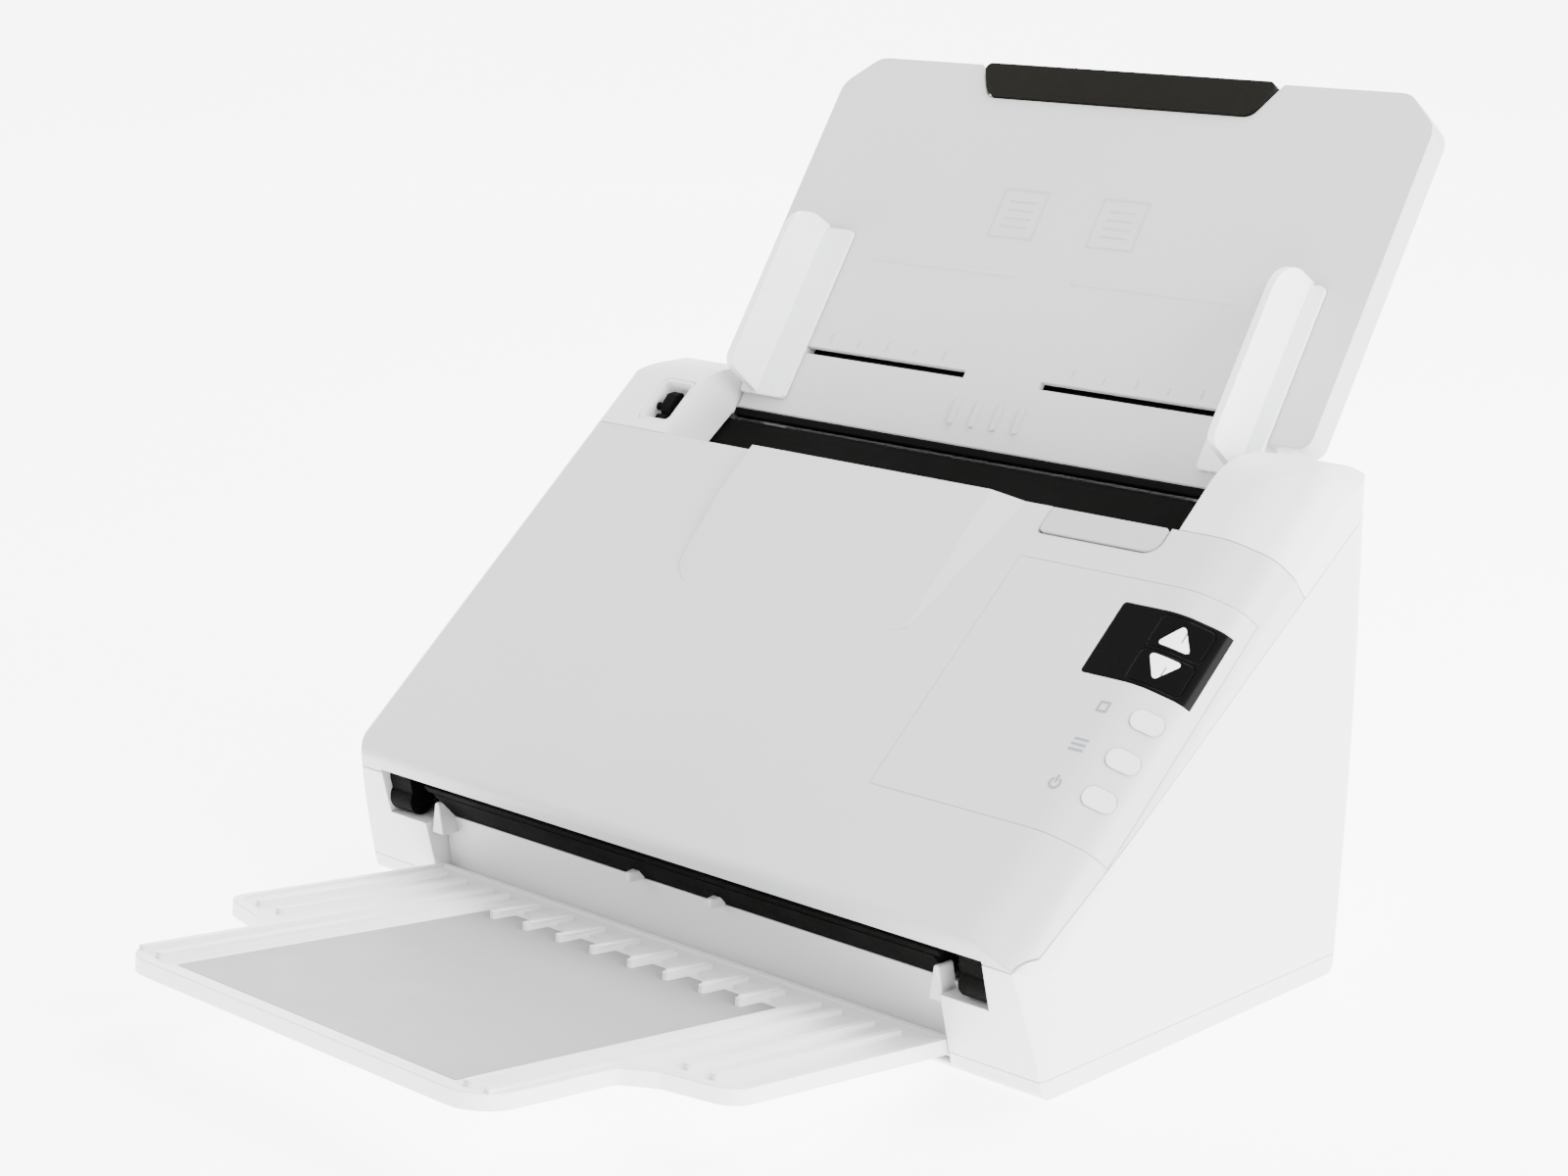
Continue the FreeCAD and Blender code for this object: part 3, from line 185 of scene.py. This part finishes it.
M = {
    "cover": moulded("cover_plastic", (0.51, 0.515, 0.528), rough=0.36),
    "side": moulded("side_plastic", (0.66, 0.66, 0.664), rough=0.42),
    "pad": moulded("finger_pad_plastic", (0.40, 0.403, 0.41), rough=0.45, grain=0.15,
                   grain_scale=1600),
    "tray": moulded("tray_plastic", (0.50, 0.505, 0.505), rough=0.48, grain=0.10),
    "guide": moulded("guide_plastic", (0.80, 0.81, 0.82), rough=0.30, grain=0.03, coat=0.15),
    "output": moulded("output_plastic", (0.74, 0.745, 0.75), rough=0.42),
    "output_panel": moulded("output_panel_plastic", (0.25, 0.252, 0.256), rough=0.55, grain=0.35,
                            grain_scale=1500),
    "black": moulded("black_plastic", (0.003, 0.0029, 0.0027), rough=0.7, grain=0.14, dust=0.2,
                     shine=0.03),
    "grip": moulded("grip_plastic", (0.006, 0.0057, 0.0042), rough=0.6, grain=0.3, grain_scale=1400,
                    dust=0.2, shine=0.06),
    "gloss": moulded("gloss_black_plastic", (0.002, 0.002, 0.002), rough=0.22, grain=0.01,
                     coat=0.03, dust=0.0, shine=0.03),
    "mark": moulded("white_print", (0.86, 0.86, 0.86), rough=0.5, grain=0.02, edge=0.05),
    "legend": moulded("grey_print", (0.22, 0.23, 0.25), rough=0.55, grain=0.02, edge=0.05),
    "rubber": rubber("roller_rubber", (0.045, 0.047, 0.05)),
    "feet": rubber("foot_rubber", (0.03, 0.03, 0.03)),
    "steel": metal("turned_steel", (0.62, 0.62, 0.61)),
    "motor": metal("motor_can", (0.48, 0.48, 0.46), rough=0.4),
    "gear": moulded("gear_plastic", (0.62, 0.60, 0.52), rough=0.35, grain=0.02, edge=0.15),
    "glass": glass("sensor_glass"),
    "board": board("circuit_board"),
    "chip": moulded("chip_epoxy", (0.012, 0.012, 0.013), rough=0.45, edge=0.1),
}

NODE_MATERIALS = {
    "cover": ["front_cover", "control_insert"],
    "pad": ["release_button"],
    "side": ["base_pan", "left_side_cover", "right_side_cover", "rear_cover", "top_cover",
             "latch_housing", "exit_wall", "function_button_1", "function_button_2",
             "function_button_3"],
    "tray": ["input_tray", "tray_extension"],
    "guide": ["left_guide", "right_guide"],
    "output": ["output_tray"],
    "black": ["cover_frame", "hinge_pins", "lower_frame", "exit_guide", "rack_cover", "cover_latch",
              "upper_sensor", "lower_sensor", "dc_jack"],
    "grip": ["extension_grip"],
    "gloss": ["display_panel", "up_key", "down_key"],
    "rubber": ["feed_tyres", "drive_tyres", "exit_tyres", "separation_roller", "drive_pinch_roller",
               "exit_pinch_roller"],
    "feet": ["feet"],
    "steel": ["usb_socket", "base_screws", "idler_pins", "feed_shaft", "drive_shaft", "exit_shaft",
              "shaft_bushes", "motor_pinion"],
    "motor": ["motor"],
    "gear": ["feed_gear", "idler_1_gear", "drive_gear", "idler_2_gear", "exit_gear",
             "guide_pinion"],
    "glass": ["upper_glass", "lower_glass"],
    "board": ["control_board", "main_board"],
}


def dress_nodes():
    for key, names in NODE_MATERIALS.items():
        for name in names:
            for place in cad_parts[name].material_slots:
                place.material = M[key]


# ---------------------------------------------------------------- pieces
# Lengths are in mm: x across the paper, "low" and "high" along the run of the piece's plane.

SHARP_ANGLE = math.radians(38)
STRIP = 1.0               # width of the strips that a film is cut into
CLEAR = 12                # height over a plane that clears every part on it

UP_ARROW = [(137.2, 117.6, 0.5), (147.2, 117.6, 0.5), (142.2, 125.4, 0.5)]
DOWN_ARROW = [(137.2, 112.9, 0.5), (142.2, 105.1, 0.5), (147.2, 112.9, 0.5)]
# Signs beside the buttons: (x from, x to, low, high) for each square or line
STOP_SQUARE, SIGN_LINE = (130.4, 134.6, 87.9, 92.1), 0.8
SCAN_LINES = (
    (129.4, 135.0, 74.35, 75.15), (129.4, 135.0, 76.35, 77.15), (129.4, 135.0, 72.35, 73.15),
)
POWER_CENTRE, POWER_OUTER, POWER_INNER = (132.4, 59.7), 2.3, 1.5
POWER_STROKE = (132.0, 132.8, 59.9, 62.7)

STEP_INNER, STEP_OUTER, STEP_LOW, STEP_HIGH = 13.3, 83.0, 67.4, 68.5
PAGE_X, PAGE_HALF, PAGE_LOW, PAGE_HIGH, PAGE_LINE = 23, 10.5, 82, 102, 0.7
TEXT_ROWS, TEXT_HALF, TEXT_LOW, TEXT_HIGH, TEXT_PITCH = 4, 6, 86.5, 87.1, 3.4
TICKS, TICK_FIRST, TICK_PITCH, TICK_HALF = 5, 30.0, 14.0, 0.4
TICK_LOW, TICK_SHORT, TICK_LONG = 31.0, 33.5, 34.6

PANEL_HALF, PANEL_LOW, PANEL_HIGH, PANEL_RADIUS = 70.6, 22.4, 162.6, 4.6
COMB_TIPS, COMB_FIRST, COMB_PITCH = 8, -57.75, 16.5
# The last value is the half width of the black sheet that paints the shade inside the feed opening
POST_X, FINGER_X, FEED_SHADE_HALF = 118.0, 19.3, 118.5

TREAD_BARS = 60
TREAD_SPANS = ((-23.2, -3.8), (3.8, 23.2))      # along the shaft
TREAD_SHARE, TREAD_TAPER = 0.45, 0.7            # of the pitch, and of a bar's foot
TREAD_FOOT, TREAD_TOP = -0.3, 0.22              # from the tyre's surface
# Middle x and z, width and height of each part on the board
BOARD_PARTS = (
    (-38, 44, 20, 20), (-8, 52, 12, 9), (16, 50, 14, 14),
    (40, 44, 10, 22), (40, 22, 14, 6), (-40, 22, 8, 8),
)
BOARD_PART_RISE, BOARD_PART_GAP = 2.2, 0.02


def rounded(corners, steps=6):
    """A closed outline of (u, v) points from (u, v, radius) corners."""
    points = []
    flat = [Vector((c[0], c[1])) for c in corners]
    for i, here in enumerate(flat):
        radius = corners[i][2] if len(corners[i]) > 2 else 0
        if radius == 0:
            points.append(here)
            continue
        back = (flat[i - 1] - here).normalized()
        ahead = (flat[(i + 1) % len(flat)] - here).normalized()
        half = back.angle(ahead) / 2
        centre = here + (back + ahead).normalized() * (radius / math.sin(half))
        first = here + back * (radius / math.tan(half)) - centre
        last = here + ahead * (radius / math.tan(half)) - centre
        for step in range(steps + 1):
            points.append(centre + first.slerp(last, step / steps))
    return points


def finish_piece(mesh, name, material, body, smooth=True):
    piece = bpy.data.objects.new(name, mesh)
    bpy.context.collection.objects.link(piece)
    mesh.materials.append(M[material])
    for polygon in mesh.polygons:
        polygon.use_smooth = smooth
    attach(piece, body)
    return piece


def plate(name, plane, corners, low, high, material, body, bevel=0.0):
    """A plate with a rounded outline over a plane, its edges eased by a bevel."""
    outline = rounded(corners)
    form = bmesh.new()
    lower = [form.verts.new(at(plane, p[0], p[1], low)) for p in outline]
    upper = [form.verts.new(at(plane, p[0], p[1], high)) for p in outline]
    form.faces.new(lower)
    form.faces.new(upper)
    for i in range(len(outline)):
        j = (i + 1) % len(outline)
        form.faces.new((lower[i], lower[j], upper[j], upper[i]))
    bmesh.ops.recalc_face_normals(form, faces=form.faces[:])
    if bevel:
        rims = [e for e in form.edges if all(v in upper for v in e.verts)]
        bmesh.ops.bevel(form, geom=rims, offset=bevel * MM, segments=3, affect="EDGES", profile=0.5)
    mesh = bpy.data.meshes.new(name)
    form.to_mesh(mesh)
    form.free()
    piece = finish_piece(mesh, name, material, body)
    mesh.shade_smooth()
    mesh.set_sharp_from_angle(angle=SHARP_ANGLE)
    return piece


def film(name, plane, outlines, target, material, body, rise=0.04, thickness=0.08):
    """Thin printing laid on a CAD node: each outline is cut into strips that follow its surface."""
    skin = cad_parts[target]
    down = (at(plane, 0, 0, -1) - at(plane, 0, 0, 0)).normalized()
    form = bmesh.new()
    for outline in outlines:
        points = [Vector((p[0], p[1], 0)) for p in outline]
        form.faces.new([form.verts.new(p) for p in points])
    low = min(v.co.x for v in form.verts)
    high = max(v.co.x for v in form.verts)
    cuts = int((high - low) / STRIP)
    for i in range(1, cuts + 1):
        whole = form.verts[:] + form.edges[:] + form.faces[:]
        bmesh.ops.bisect_plane(form, geom=whole, plane_co=(low + i * STRIP, 0, 0),
                               plane_no=(1, 0, 0))
    bmesh.ops.triangulate(form, faces=form.faces[:])
    for vert in form.verts:
        start = at(plane, vert.co.x, vert.co.y, CLEAR)
        hit, place, _, _ = skin.ray_cast(start, down)
        vert.co = (place if hit else at(plane, vert.co.x, vert.co.y, 0)) - down * rise * MM
    bmesh.ops.recalc_face_normals(form, faces=form.faces[:])
    if sum(face.normal.dot(down) for face in form.faces) > 0:
        bmesh.ops.reverse_faces(form, faces=form.faces[:])
    result = bmesh.ops.extrude_face_region(form, geom=form.faces[:])
    lifted = [g for g in result["geom"] if isinstance(g, bmesh.types.BMVert)]
    bmesh.ops.translate(form, verts=lifted, vec=-down * thickness * MM)
    mesh = bpy.data.meshes.new(name)
    form.to_mesh(mesh)
    form.free()
    return finish_piece(mesh, name, material, body, smooth=False)


def ring(centre, outer, inner, start_deg, end_deg, steps=28):
    """An outline of an arc-shaped band."""
    points = []
    for radius, order in ((outer, range(steps + 1)), (inner, range(steps, -1, -1))):
        for i in order:
            angle = math.radians(start_deg + (end_deg - start_deg) * i / steps)
            points.append((centre[0] + radius * math.cos(angle),
                           centre[1] + radius * math.sin(angle)))
    return points


def bar(x_low, x_high, a_low, a_high):
    return [(x_low, a_low), (x_high, a_low), (x_high, a_high), (x_low, a_high)]


def frame_outline(x_low, x_high, a_low, a_high, line):
    """Four bars round a rectangle."""
    return [
        bar(x_low, x_high, a_low, a_low + line), bar(x_low, x_high, a_high - line, a_high),
        bar(x_low, x_low + line, a_low + line, a_high - line),
        bar(x_high - line, x_high, a_low + line, a_high - line),
    ]


def control_marks():
    """White arrows on the two keys and plain grey signs beside the three buttons."""
    for key, arrow in (("up", UP_ARROW), ("down", DOWN_ARROW)):
        film(key + "_arrow", "slope", [rounded(arrow, 3)], key + "_key", "mark", key,
             rise=0.1)
    signs = (
        ("stop", frame_outline(*STOP_SQUARE, SIGN_LINE)),
        ("scan", [bar(*line) for line in SCAN_LINES]),
        ("power", [ring(POWER_CENTRE, POWER_OUTER, POWER_INNER, 125, 415), bar(*POWER_STROKE)]),
    )
    for name, outlines in signs:
        film(name + "_legend", "slope", outlines, "control_insert", "legend", "cover")


def tray_details():
    """Step lines, faint page outlines and size ticks on the feed tray."""
    for side, name in ((-1, "left"), (1, "right")):
        start, end = sorted((side * STEP_INNER, side * STEP_OUTER))
        line = [(start, STEP_LOW, 0.4), (end, STEP_LOW, 0.4),
                (end, STEP_HIGH, 0.4), (start, STEP_HIGH, 0.4)]
        plate("tray_step_" + name, "tray", line, -0.3, 0.22, "tray", "tray",
              bevel=0.25)
        x = side * PAGE_X
        page = frame_outline(x - PAGE_HALF, x + PAGE_HALF, PAGE_LOW, PAGE_HIGH, PAGE_LINE)
        for i in range(TEXT_ROWS):
            page.append(bar(x - TEXT_HALF, x + TEXT_HALF,
                            TEXT_LOW + TEXT_PITCH * i, TEXT_HIGH + TEXT_PITCH * i))
        film("page_icon_" + name, "tray", page, "input_tray", "tray", "tray",
             rise=0.0, thickness=0.12)
        for i in range(TICKS):
            x = side * (TICK_FIRST + TICK_PITCH * i)
            tick = bar(x - TICK_HALF, x + TICK_HALF, TICK_LOW, TICK_SHORT if i % 2 else TICK_LONG)
            film("size_tick_%s_%d" % (name, i), "tray", [tick], "input_tray", "tray",
                 "tray", rise=0.0, thickness=0.15)


def output_details():
    """The textured panel of the catch tray and the tips of the comb behind it."""
    panel = [(-PANEL_HALF, PANEL_LOW, PANEL_RADIUS), (PANEL_HALF, PANEL_LOW, PANEL_RADIUS),
             (PANEL_HALF, PANEL_HIGH, PANEL_RADIUS), (-PANEL_HALF, PANEL_HIGH, PANEL_RADIUS)]
    plate("output_panel", "out", panel, -0.85, -0.72, "output_panel", "out_tray")
    for i in range(COMB_TIPS):
        x = COMB_FIRST + COMB_PITCH * i
        tip = [(x - 1.0, 16, 0.9), (x + 1.0, 16, 0.9), (x + 1.0, 34, 0.9), (x - 1.0, 34, 0.9)]
        plate("comb_tip_%d" % i, "out", tip, 1.4, 2.3, "output", "out_tray",
              bevel=0.4)


def exit_details():
    """The pointed fingers under the exit and the round-topped posts at its two ends."""
    for side, name in ((-1, "left"), (1, "right")):
        x = side * POST_X
        post = [(x - 3.2, 24.5), (x + 3.2, 24.5), (x + 3.2, 38.2, 3.1), (x - 3.2, 38.2, 3.1)]
        plate("exit_post_" + name, "front", post, -7.0, 0.0, "side", "housing",
              bevel=0.5)
        x = side * FINGER_X
        tip = [(x - 1.9, -93.4), (x + 1.9, -93.4), (x + 0.3, -98.6, 0.2), (x - 0.3, -98.6, 0.2)]
        plate("exit_finger_" + name, "world", tip, 30.1, 33.4, "side", "housing",
              bevel=0.3)


def feed_opening_shade():
    """Black sheet on the bridge behind the feed opening, right up to the tray's foot: painted
    shade, so that the opening reads as one dark band.
    """
    top = bar(-FEED_SHADE_HALF, FEED_SHADE_HALF, -3.3, -0.5)
    front = bar(-FEED_SHADE_HALF, FEED_SHADE_HALF, -3.42, -3.24)
    plate("feed_shade_top", "tray", top, 0.22, 0.3, "black", "housing")
    plate("feed_shade_front", "tray", front, -3.0, 0.3, "black", "housing")


def roller_tread():
    """Raised bars across the two feed tyres, so that they show their moulded tread."""
    low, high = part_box("feed_tyres")
    centre_y, centre_z = (low[1] + high[1]) / 2, (low[2] + high[2]) / 2
    radius = (high[2] - low[2]) / 2
    half = math.pi / TREAD_BARS * TREAD_SHARE
    section = ((-half, TREAD_FOOT), (-half * TREAD_TAPER, TREAD_TOP),
               (half * TREAD_TAPER, TREAD_TOP), (half, TREAD_FOOT))
    for index, (x_low, x_high) in enumerate(TREAD_SPANS):
        form = bmesh.new()
        for i in range(TREAD_BARS):
            angle = 2 * math.pi * (i + 0.5) / TREAD_BARS
            corners = []
            for turn, reach in section:
                r = radius + reach * MM
                corners.append((centre_y + r * math.cos(angle + turn),
                                centre_z + r * math.sin(angle + turn)))
            near, far = [[form.verts.new((x * MM, y, z)) for y, z in corners]
                         for x in (x_low, x_high)]
            form.faces.new(near)
            form.faces.new(far[::-1])
            for k in range(4):
                form.faces.new((near[k], far[k], far[(k + 1) % 4], near[(k + 1) % 4]))
        bmesh.ops.recalc_face_normals(form, faces=form.faces[:])
        mesh = bpy.data.meshes.new("tread")
        form.to_mesh(mesh)
        form.free()
        finish_piece(mesh, "tread_feed_tyres_%d" % index, "rubber", "feed_drive",
                     smooth=False)


def board_parts():
    """Chips, capacitors and connectors on the main board, behind the rear cover."""
    low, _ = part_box("main_board")
    front = low[1] / MM - SHIFT
    for i, (x, z, wide, tall) in enumerate(BOARD_PARTS):
        left, right = x - wide / 2, x + wide / 2
        face, foot = front - BOARD_PART_RISE, front - BOARD_PART_GAP
        corners = [(left, face, 0.4), (right, face, 0.4), (right, foot, 0.2), (left, foot, 0.2)]
        plate("board_chip_%d" % i, "world", corners, z - tall / 2, z + tall / 2, "chip", "housing",
              bevel=0.3)


# ---------------------------------------------------------------- stage

FLOOR_HALF = 3.2          # metres
FLOOR_RISE = 2.4
FLOOR_CURVE = 0.9
FLOOR_TURN = 43.8         # degrees: the raised end is opposite the camera
FLOOR_GLOW = 4.4
WORLD_LIGHT = 1.5
AIM = Vector((0, 0, 0.12))
# Name, place and width in metres, power in watts
LIGHTS = (
    ("right_side", (1.5, 0.1, 0.75), 1.1, 60.0),
    ("top_back", (0.3, 0.9, 1.7), 1.4, 85.0),
    ("front_left", (-1.2, -1.3, 0.9), 1.2, 16.0),
)
LENS = 71.64              # mm, on a 36 mm sensor
CAMERA_TURN, CAMERA_LIFT = 43.76, 13.75
CAMERA_DISTANCE = 1.05254
CAMERA_TARGET = Vector((0, (SHIFT - 43.48) * MM, 0.12512))


def add_floor():
    """A plain pale floor that curves up behind the scanner."""
    profile = [(-FLOOR_HALF, 0.0), (FLOOR_HALF - FLOOR_CURVE, 0.0)]
    steps = 16
    for i in range(1, steps + 1):
        angle = math.pi / 2 * i / steps
        profile.append((FLOOR_HALF - FLOOR_CURVE + FLOOR_CURVE * math.sin(angle),
                        FLOOR_CURVE - FLOOR_CURVE * math.cos(angle)))
    profile.append((FLOOR_HALF, FLOOR_RISE))
    turn = math.radians(FLOOR_TURN)
    direction = Vector((-math.sin(turn), math.cos(turn), 0))
    across = Vector((direction.y, -direction.x, 0))
    form = bmesh.new()
    rows = []
    for run, up in profile:
        middle = direction * run + Vector((0, 0, up))
        rows.append([form.verts.new(middle - across * FLOOR_HALF),
                     form.verts.new(middle + across * FLOOR_HALF)])
    for first, second in zip(rows, rows[1:]):
        form.faces.new((first[0], first[1], second[1], second[0]))
    mesh = bpy.data.meshes.new("floor")
    form.to_mesh(mesh)
    form.free()
    mesh.shade_smooth()
    floor = bpy.data.objects.new("floor", mesh)
    bpy.context.collection.objects.link(floor)
    mat, nodes, links, bsdf = shader("floor_paper")
    tone = noise(nodes, links, 3.0)
    links.new(ramp(nodes, links, tone.outputs["Fac"], (0.93, 0.93, 0.93), (0.95, 0.95, 0.95)),
              bsdf.inputs["Base Color"])
    bsdf.inputs["Roughness"].default_value = 0.9
    bsdf.inputs["Emission Color"].default_value = (1, 1, 1, 1)
    bsdf.inputs["Emission Strength"].default_value = FLOOR_GLOW
    mesh.materials.append(mat)


def add_lights():
    """Even white surroundings and three soft round lights aimed at the scanner."""
    world = bpy.data.worlds.new("studio")
    bpy.context.scene.world = world
    world.use_nodes = True
    background = world.node_tree.nodes["Background"]
    background.inputs["Color"].default_value = (1.0, 1.0, 1.0, 1)
    background.inputs["Strength"].default_value = WORLD_LIGHT
    for name, place, wide, power in LIGHTS:
        data = bpy.data.lights.new(name, "AREA")
        data.shape = "DISK"
        data.size = wide
        data.energy = power
        lamp = bpy.data.objects.new(name, data)
        bpy.context.collection.objects.link(lamp)
        lamp.location = place
        lamp.rotation_euler = (AIM - Vector(place)).to_track_quat("-Z", "Y").to_euler()


def add_camera():
    eye = bpy.data.cameras.new("camera")
    eye.sensor_width = 36.0
    eye.lens = LENS
    camera = bpy.data.objects.new("camera", eye)
    bpy.context.collection.objects.link(camera)
    turn, lift = math.radians(CAMERA_TURN), math.radians(CAMERA_LIFT)
    back = Vector((math.sin(turn) * math.cos(lift), -math.cos(turn) * math.cos(lift),
                   math.sin(lift)))
    camera.location = CAMERA_TARGET + back * CAMERA_DISTANCE
    camera.rotation_euler = back.to_track_quat("Z", "Y").to_euler()
    bpy.context.scene.camera = camera


dress_nodes()
control_marks()
tray_details()
output_details()
exit_details()
feed_opening_shade()
roller_tread()
board_parts()
add_floor()
add_lights()
add_camera()
